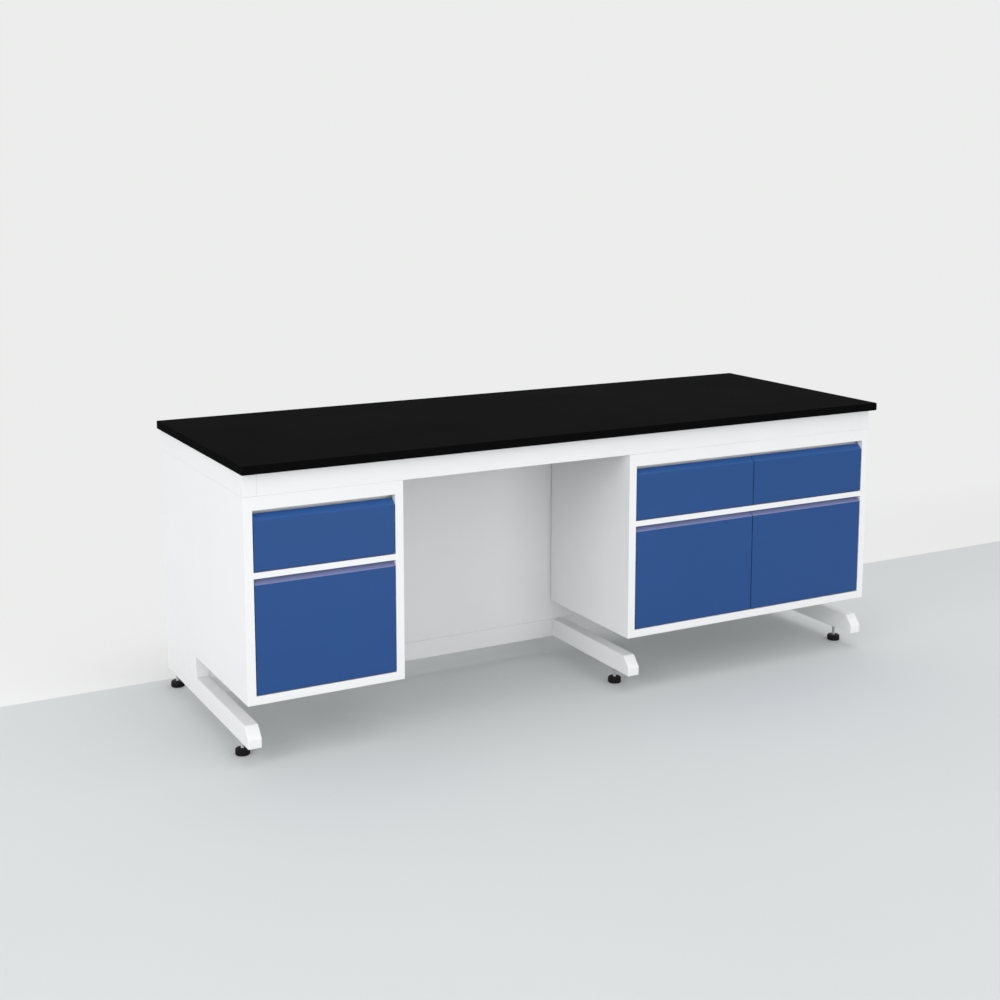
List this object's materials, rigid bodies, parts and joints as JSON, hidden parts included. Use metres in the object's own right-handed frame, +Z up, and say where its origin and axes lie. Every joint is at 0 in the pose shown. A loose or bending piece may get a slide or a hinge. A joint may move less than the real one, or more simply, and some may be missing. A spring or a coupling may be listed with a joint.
{
  "type": "laboratory bench",
  "caption": "Steel C-frame laboratory bench with a black resin worktop, a knee space and suspended cabinets of blue drawers and doors with sloping finger pulls, on levelling feet.",
  "frame": {"origin": "on the floor, below the middle of the worktop", "axes": "+X along the bench to the right, +Y from the front to the back, +Z up"},
  "size_m": [2.2, 0.8, 0.85],
  "materials": {
    "worktop_resin": "matt black solid phenolic resin slab",
    "white_powder_coat": "satin white epoxy powder coat on folded steel",
    "blue_powder_coat": "satin blue epoxy powder coat on folded steel",
    "foot_nylon": "moulded black nylon pad on a zinc-plated stud",
    "zinc_plated_steel": "zinc-plated pressed steel"
  },
  "bodies": {
    "bench": {"worktop": "worktop_resin", "left_foot_beam": "white_powder_coat", "middle_foot_beam": "white_powder_coat", "right_foot_beam": "white_powder_coat", "left_column": "white_powder_coat", "middle_column": "white_powder_coat", "right_column": "white_powder_coat", "left_top_arm": "white_powder_coat", "middle_top_arm": "white_powder_coat", "right_top_arm": "white_powder_coat", "front_apron": "white_powder_coat", "rear_top_rail": "white_powder_coat", "left_lower_stretcher": "white_powder_coat", "right_lower_stretcher": "white_powder_coat", "left_back_panel": "white_powder_coat", "right_back_panel": "white_powder_coat", "left_cabinet_shell": "white_powder_coat", "left_cabinet_top_rail": "white_powder_coat", "left_cabinet_divider_rail": "white_powder_coat", "left_cabinet_back": "white_powder_coat", "left_cabinet_shelf": "white_powder_coat", "right_cabinet_shell": "white_powder_coat", "right_cabinet_top_rail": "white_powder_coat", "right_cabinet_divider_rail": "white_powder_coat", "right_cabinet_back": "white_powder_coat", "right_cabinet_shelf": "white_powder_coat", "right_cabinet_drawer_partition": "white_powder_coat", "left_drawer_left_cabinet_runner": "zinc_plated_steel", "left_drawer_right_cabinet_runner": "zinc_plated_steel", "left_door_lower_hinge": "zinc_plated_steel", "left_door_upper_hinge": "zinc_plated_steel", "centre_drawer_left_cabinet_runner": "zinc_plated_steel", "centre_drawer_right_cabinet_runner": "zinc_plated_steel", "centre_door_lower_hinge": "zinc_plated_steel", "centre_door_upper_hinge": "zinc_plated_steel", "right_drawer_left_cabinet_runner": "zinc_plated_steel", "right_drawer_right_cabinet_runner": "zinc_plated_steel", "right_door_lower_hinge": "zinc_plated_steel", "right_door_upper_hinge": "zinc_plated_steel"},
    "left_front_levelling_foot": {"left_front_levelling_foot": "foot_nylon"},
    "left_rear_levelling_foot": {"left_rear_levelling_foot": "foot_nylon"},
    "middle_front_levelling_foot": {"middle_front_levelling_foot": "foot_nylon"},
    "middle_rear_levelling_foot": {"middle_rear_levelling_foot": "foot_nylon"},
    "right_front_levelling_foot": {"right_front_levelling_foot": "foot_nylon"},
    "right_rear_levelling_foot": {"right_rear_levelling_foot": "foot_nylon"},
    "left_drawer": {"left_drawer_front": "blue_powder_coat", "left_drawer_box": "white_powder_coat", "left_drawer_left_box_runner": "zinc_plated_steel", "left_drawer_right_box_runner": "zinc_plated_steel"},
    "left_door": {"left_door": "blue_powder_coat"},
    "centre_drawer": {"centre_drawer_front": "blue_powder_coat", "centre_drawer_box": "white_powder_coat", "centre_drawer_left_box_runner": "zinc_plated_steel", "centre_drawer_right_box_runner": "zinc_plated_steel"},
    "centre_door": {"centre_door": "blue_powder_coat"},
    "right_drawer": {"right_drawer_front": "blue_powder_coat", "right_drawer_box": "white_powder_coat", "right_drawer_left_box_runner": "zinc_plated_steel", "right_drawer_right_box_runner": "zinc_plated_steel"},
    "right_door": {"right_door": "blue_powder_coat"}
  },
  "joints": [
    {"name": "left_front_levelling_foot_turn", "type": "hinge", "parent": "bench", "child": "left_front_levelling_foot", "pos_m": [-1.07, -0.26, 0], "axis": [0, 0, 1], "continuous": true},
    {"name": "left_rear_levelling_foot_turn", "type": "hinge", "parent": "bench", "child": "left_rear_levelling_foot", "pos_m": [-1.07, 0.365, 0], "axis": [0, 0, 1], "continuous": true},
    {"name": "middle_front_levelling_foot_turn", "type": "hinge", "parent": "bench", "child": "middle_front_levelling_foot", "pos_m": [0.168, -0.26, 0], "axis": [0, 0, 1], "continuous": true},
    {"name": "middle_rear_levelling_foot_turn", "type": "hinge", "parent": "bench", "child": "middle_rear_levelling_foot", "pos_m": [0.168, 0.365, 0], "axis": [0, 0, 1], "continuous": true},
    {"name": "right_front_levelling_foot_turn", "type": "hinge", "parent": "bench", "child": "right_front_levelling_foot", "pos_m": [1.07, -0.26, 0], "axis": [0, 0, 1], "continuous": true},
    {"name": "right_rear_levelling_foot_turn", "type": "hinge", "parent": "bench", "child": "right_rear_levelling_foot", "pos_m": [1.07, 0.365, 0], "axis": [0, 0, 1], "continuous": true},
    {"name": "left_drawer_slide", "type": "slide", "parent": "bench", "child": "left_drawer", "axis": [0, -1, 0], "range_m": [0, 0.33]},
    {"name": "left_door_hinge", "type": "hinge", "parent": "bench", "child": "left_door", "pos_m": [-1.056, -0.37, 0.36], "axis": [0, 0, -1], "range_deg": [0, 105]},
    {"name": "centre_drawer_slide", "type": "slide", "parent": "bench", "child": "centre_drawer", "axis": [0, -1, 0], "range_m": [0, 0.33]},
    {"name": "centre_door_hinge", "type": "hinge", "parent": "bench", "child": "centre_door", "pos_m": [0.174, -0.37, 0.36], "axis": [0, 0, -1], "range_deg": [0, 105]},
    {"name": "right_drawer_slide", "type": "slide", "parent": "bench", "child": "right_drawer", "axis": [0, -1, 0], "range_m": [0, 0.33]},
    {"name": "right_door_hinge", "type": "hinge", "parent": "bench", "child": "right_door", "pos_m": [1.056, -0.37, 0.36], "axis": [0, 0, 1], "range_deg": [0, 105]}
  ]
}
